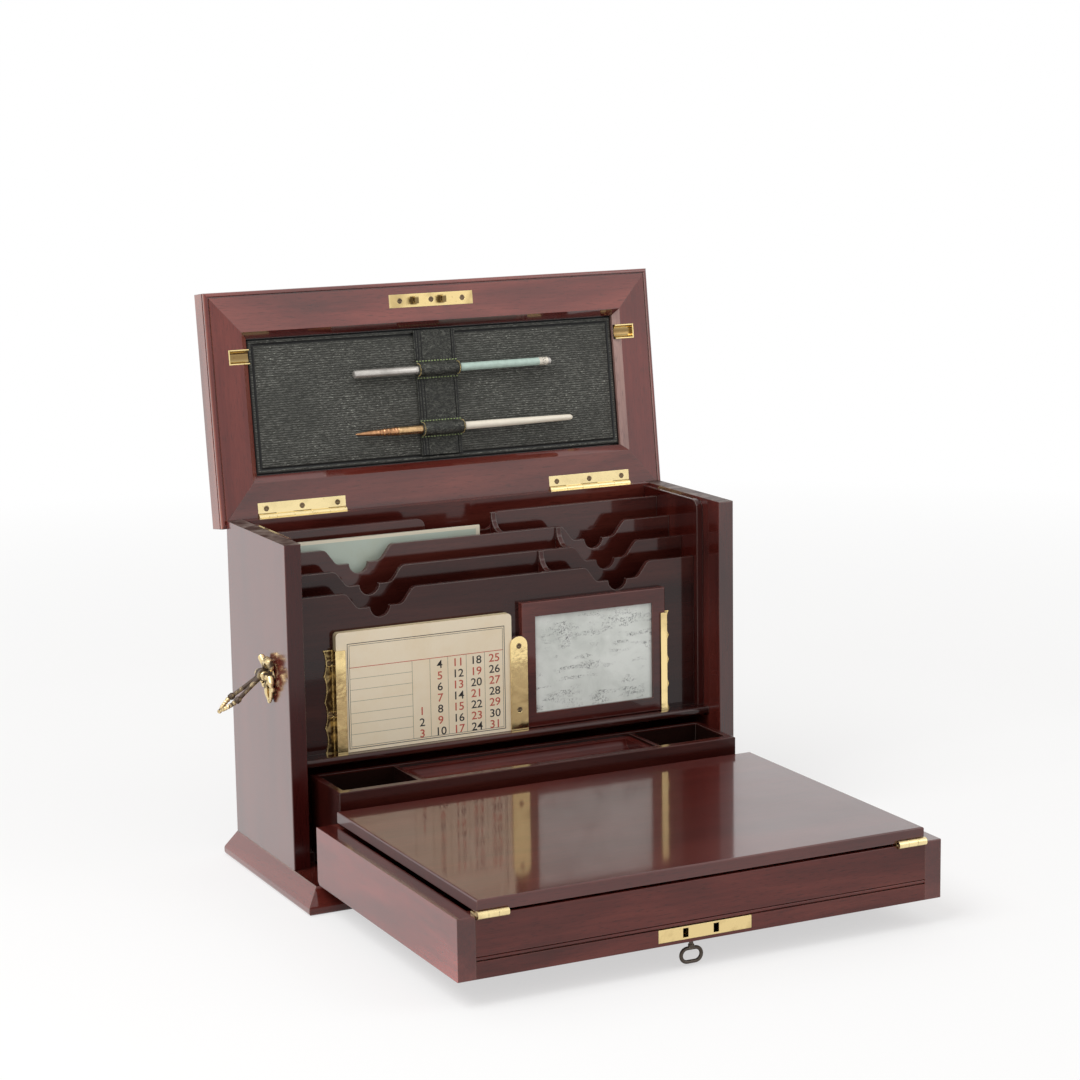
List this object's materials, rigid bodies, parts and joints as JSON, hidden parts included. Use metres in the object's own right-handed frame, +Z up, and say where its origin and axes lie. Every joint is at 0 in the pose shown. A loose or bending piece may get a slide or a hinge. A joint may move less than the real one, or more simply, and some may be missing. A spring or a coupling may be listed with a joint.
{
  "type": "table-top writing cabinet",
  "caption": "Portable writing cabinet: lid with pens, letter rack, calendar and tablet, sliding pen tray, and a fall front with a hinged board and a link lock.",
  "frame": {"origin": "underside of the base, in the middle of the footprint of base and plinth", "axes": "+X to the right seen from the front, +Y to the back, +Z up"},
  "size_m": [0.4249, 0.4555, 0.4274],
  "materials": {
    "mahogany": "French polished, dark red-brown",
    "brass": "polished",
    "dark_brass": "tarnished",
    "cast_brass": "cast, worn gilt over dark brown",
    "key_steel": "worn",
    "black_leather": "straight grain",
    "cream_card": "printed card",
    "green_card": "pale green card",
    "opal": "matt writing tablet",
    "green_paint": "painted, with silvered ends",
    "ivory": "ivory coloured"
  },
  "bodies": {
    "case": {"base_board": "mahogany", "plinth_front": "mahogany", "plinth_left": "mahogany", "plinth_right": "mahogany", "left_side": "mahogany", "right_side": "mahogany", "back_panel": "mahogany", "tray_runners": "mahogany", "rack_shelf": "mahogany", "left_cheek": "mahogany", "right_cheek": "mahogany", "front_divider": "mahogany", "second_divider": "mahogany", "third_divider": "mahogany", "rear_divider": "mahogany", "partitions": "mahogany", "left_clip": "brass", "right_clip": "brass", "centre_strip": "brass", "strip_batten": "mahogany", "clip_screws": "dark_brass", "ledge_hinge_leaves": "brass", "case_hinge_leaves": "brass", "case_hinge_pins": "brass", "handle_mounts": "cast_brass"},
    "lid": {"lid_front_rail": "mahogany", "lid_back_rail": "mahogany", "lid_left_rail": "mahogany", "lid_right_rail": "mahogany", "lid_panel": "mahogany", "lid_hinge_leaves": "brass", "strike_plate": "brass", "lid_screws": "dark_brass", "knuckle_sockets": "brass", "leather_panel": "black_leather", "pen_strap": "black_leather", "pen_loops": "black_leather"},
    "fall": {"fall_sides": "mahogany", "fall_panel": "mahogany", "fall_front_rail": "mahogany", "fall_back_rail": "mahogany", "fall_hinge_leaves": "brass", "rim_hinge_leaves": "brass", "board_hinge_pins": "brass", "lock_case": "brass"},
    "board": {"writing_board": "mahogany", "board_hinge_leaves": "brass"},
    "bolt": {"lock_bolt": "brass"},
    "key": {"key": "key_steel"},
    "tray": {"tray_box": "mahogany", "tray_dividers": "mahogany", "pen_trough": "mahogany"},
    "left_bail": {"left_bail": "cast_brass"},
    "right_bail": {"right_bail": "cast_brass"},
    "calendar": {"calendar_cards": "cream_card"},
    "memo": {"memo_frame": "mahogany", "memo_tablet": "opal"},
    "letter": {"letter_card": "green_card"},
    "pencil": {"pencil": "green_paint"},
    "penholder": {"penholder": "ivory"}
  },
  "joints": [
    {"name": "lid_hinge", "type": "hinge", "parent": "case", "child": "lid", "pos_m": [0, 0.0893, 0.2581], "axis": [-1, 0, 0], "range_deg": [-97.5, 0]},
    {"name": "fall_hinge", "type": "hinge", "parent": "case", "child": "fall", "pos_m": [0, -0.0763, 0.017], "axis": [1, 0, 0], "range_deg": [-90, 0]},
    {"name": "tray_slide", "type": "slide", "parent": "case", "child": "tray", "axis": [0, -1, 0], "range_m": [-0.0655, 0]},
    {"name": "board_hinge", "type": "hinge", "parent": "fall", "child": "board", "pos_m": [0, -0.3176, 0.06215], "axis": [1, 0, 0], "range_deg": [0, 180]},
    {"name": "key_turn", "type": "hinge", "parent": "fall", "child": "key", "pos_m": [-0.01, -0.3093, 0.01], "axis": [0, 0, 1], "range_deg": [-90, 0]},
    {"name": "bolt_slide", "type": "slide", "parent": "fall", "child": "bolt", "axis": [-1, 0, 0], "range_m": [-0.0052, 0]},
    {"name": "left_bail_swing", "type": "hinge", "parent": "case", "child": "left_bail", "pos_m": [-0.1924, 0.0023, 0.158], "axis": [0, 1, 0], "range_deg": [-55, 35]},
    {"name": "right_bail_swing", "type": "hinge", "parent": "case", "child": "right_bail", "pos_m": [0.1924, 0.0023, 0.158], "axis": [0, -1, 0], "range_deg": [0, 90]},
    {"name": "calendar_lift", "type": "slide", "parent": "case", "child": "calendar", "axis": [0, 0, 1], "range_m": [0, 0.1]},
    {"name": "memo_lift", "type": "slide", "parent": "case", "child": "memo", "axis": [0, 0, 1], "range_m": [0, 0.1]},
    {"name": "letter_lift", "type": "slide", "parent": "case", "child": "letter", "axis": [0, 0, 1], "range_m": [0, 0.15]},
    {"name": "pencil_slide", "type": "slide", "parent": "lid", "child": "pencil", "axis": [1, 0, 0], "range_m": [0, 0.055]},
    {"name": "penholder_slide", "type": "slide", "parent": "lid", "child": "penholder", "axis": [1, 0, 0], "range_m": [0, 0.04]}
  ],
  "couplings": [
    {"joint": "tray_slide", "follows": "fall_hinge", "m_per_rad": 0.04165},
    {"joint": "key_turn", "follows": "bolt_slide", "rad_per_m": 302}
  ]
}
